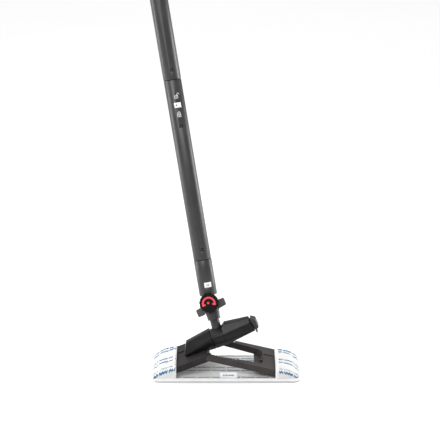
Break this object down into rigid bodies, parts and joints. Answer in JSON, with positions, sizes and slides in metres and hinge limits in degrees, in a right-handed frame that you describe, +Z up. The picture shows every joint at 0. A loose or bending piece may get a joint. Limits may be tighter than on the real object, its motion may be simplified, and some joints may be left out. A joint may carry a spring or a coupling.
{
  "type": "steam mop",
  "caption": "Jointed pole on a folding flat mop frame whose wing tips sit in the end pockets of a microfibre pad, with a steam dial on the knuckle.",
  "frame": {"origin": "middle of the pad's underside, on the floor", "axes": "+Z up, +X to the right along the pad towards the long wing, +Y to the back, the way the pole leans"},
  "size_m": [0.4302, 0.4012, 1.1657],
  "materials": {
    "pile": "looped microfibre",
    "backing": "woven cloth",
    "pocket": "woven cloth with stitched stripes",
    "label": "printed satin tape",
    "frame_plastic": "fine matt grain",
    "barrel_plastic": "satin",
    "pole_plastic": "satin gloss",
    "ear_plastic": "satin",
    "pedal_plastic": "satin",
    "black_plastic": "satin",
    "red_plastic": "smooth",
    "white_plastic": "smooth",
    "ivory_plastic": "smooth bearing plastic",
    "pipe_plastic": "smooth",
    "steel": "bright",
    "aluminium": "cast",
    "brass": "turned",
    "grip_rubber": "soft matt",
    "seal_rubber": "soft"
  },
  "bodies": {
    "pad": {"pad_sole": "pile", "pad_backing": "backing", "pad_pocket_left": "pocket", "pad_pocket_right": "pocket", "pad_label": "label"},
    "left_frame": {"left_wing": "frame_plastic", "left_cover": "barrel_plastic", "right_cover": "barrel_plastic", "right_tray": "barrel_plastic", "axle_blocks": "black_plastic", "swivel_axle": "steel", "hinge_pins": "steel", "steam_chamber": "aluminium", "feed_pipe": "brass", "steam_nozzles": "brass", "barrel_screws": "steel", "pedal_pin": "steel", "pedal_spring": "steel"},
    "right_frame": {"right_wing": "frame_plastic", "latch_catch": "steel", "catch_screws": "steel"},
    "pedal": {"latch_pedal": "pedal_plastic"},
    "swivel": {"swivel_block": "barrel_plastic", "swivel_bushes": "ivory_plastic", "neck_tube": "barrel_plastic", "neck_collar": "barrel_plastic", "knuckle_fork": "barrel_plastic", "knuckle_pin": "steel"},
    "collar": {"wing_collar": "ear_plastic"},
    "dial": {"steam_dial": "black_plastic", "dial_scale": "red_plastic", "valve_needle": "brass"},
    "pole": {"pole_foot": "black_plastic", "lower_tube": "pole_plastic", "lower_coupler": "black_plastic", "middle_tube": "pole_plastic", "upper_coupler": "black_plastic", "upper_tube": "pole_plastic", "steam_pipe": "pipe_plastic", "grip_sleeve": "grip_rubber", "hose_socket": "black_plastic", "socket_seal": "seal_rubber", "button_spring": "steel"},
    "slider": {"lock_slider": "white_plastic"},
    "button": {"release_button": "white_plastic"}
  },
  "joints": [
    {"name": "left_wing_fold", "type": "hinge", "parent": "pad", "child": "left_frame", "pos_m": [-0.16729, 0, 0.01039], "axis": [0, 1, 0], "range_deg": [-8, 22], "deforming": ["pad_pocket_left", "pad_pocket_right"]},
    {"name": "right_wing_fold", "type": "hinge", "parent": "left_frame", "child": "right_frame", "pos_m": [-0.0466, 0, 0.0667], "axis": [0, 1, 0], "range_deg": [-36, 13.5]},
    {"name": "pedal_press", "type": "hinge", "parent": "left_frame", "child": "pedal", "pos_m": [0.05974, 0, 0.13986], "axis": [0, 1, 0], "range_deg": [0, 5], "stiffness_Nm_per_rad": 1.2, "springref_deg": -5.73, "deforming": ["pedal_spring"]},
    {"name": "pole_fore_aft", "type": "hinge", "parent": "left_frame", "child": "swivel", "pos_m": [-0.0198, 0, 0.10449], "axis": [0.9272, 0, 0.3746], "range_deg": [-45, 45]},
    {"name": "collar_twist", "type": "hinge", "parent": "swivel", "child": "collar", "pos_m": [-0.04034, 0.02644, 0.17715], "axis": [-0.2567, 0.3305, 0.9082], "range_deg": [-25, 25]},
    {"name": "dial_turn", "type": "hinge", "parent": "swivel", "child": "dial", "pos_m": [-0.0447, 0.03206, 0.19259], "axis": [-0.0463, -0.9623, 0.268], "range_deg": [-150, 150]},
    {"name": "pole_side_tilt", "type": "hinge", "parent": "swivel", "child": "pole", "pos_m": [-0.0447, 0.03206, 0.19259], "axis": [-0.0463, -0.9623, 0.268], "range_deg": [-28, 35]},
    {"name": "slider_slide", "type": "slide", "parent": "pole", "child": "slider", "axis": [-0.164, 0.2719, 0.9482], "range_m": [-0.004, 0.004]},
    {"name": "button_press", "type": "slide", "parent": "pole", "child": "button", "axis": [-0.1425, 0.9446, -0.2956], "range_m": [0, 0.0024], "stiffness_N_per_m": 600, "springref_m": -0.001, "deforming": ["button_spring"]}
  ],
  "couplings": [
    {"joint": "right_wing_fold", "follows": "left_wing_fold", "ratio": -1.618}
  ]
}
